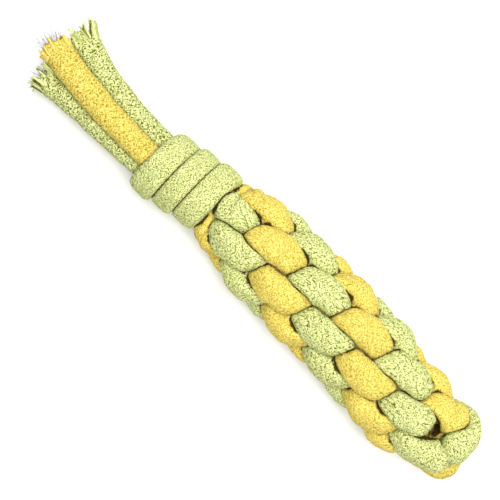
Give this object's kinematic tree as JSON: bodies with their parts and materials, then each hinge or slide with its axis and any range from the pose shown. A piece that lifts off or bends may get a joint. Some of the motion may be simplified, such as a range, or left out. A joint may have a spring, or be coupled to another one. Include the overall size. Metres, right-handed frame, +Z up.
{
  "type": "rope dog toy",
  "caption": "Soft tug toy of green and yellow cotton cord worked into a round crown sinnet, whipped at the neck, with loose frayed tails.",
  "frame": {"origin": "middle of the toy's footprint, on the surface that it lies on", "axes": "+X along the toy from the woven end to the tails, +Z up"},
  "size_m": [0.2266, 0.0416, 0.0381],
  "materials": {
    "green_cotton": "matt",
    "yellow_cotton": "matt",
    "white_core": "matt"
  },
  "bodies": {
    "sinnet": {"green_cord": "green_cotton", "yellow_cord": "yellow_cotton", "whipping_cord": "green_cotton"},
    "left_tail": {"green_tail_left": "green_cotton", "green_tail_left_core": "white_core"},
    "front_tail": {"yellow_tail_front": "yellow_cotton", "yellow_tail_front_core": "white_core"},
    "right_tail": {"green_tail_right": "green_cotton", "green_tail_right_core": "white_core"},
    "back_tail": {"yellow_tail_back": "yellow_cotton", "yellow_tail_back_core": "white_core"}
  },
  "joints": [
    {"name": "left_tail_bend", "type": "hinge", "parent": "sinnet", "child": "left_tail", "pos_m": [0.05559, 0.00865, 0.01854], "axis": [0, 0, 1], "range_deg": [0, 45]},
    {"name": "front_tail_bend", "type": "hinge", "parent": "sinnet", "child": "front_tail", "pos_m": [0.05559, 0.00265, 0.02454], "axis": [0, -1, 0], "range_deg": [0, 45]},
    {"name": "right_tail_bend", "type": "hinge", "parent": "sinnet", "child": "right_tail", "pos_m": [0.05559, -0.00335, 0.01854], "axis": [0, 0, -1], "range_deg": [0, 45]},
    {"name": "back_tail_bend", "type": "hinge", "parent": "sinnet", "child": "back_tail", "pos_m": [0.05559, 0.00265, 0.01254], "axis": [0, 1, 0], "range_deg": [0, 45]}
  ]
}
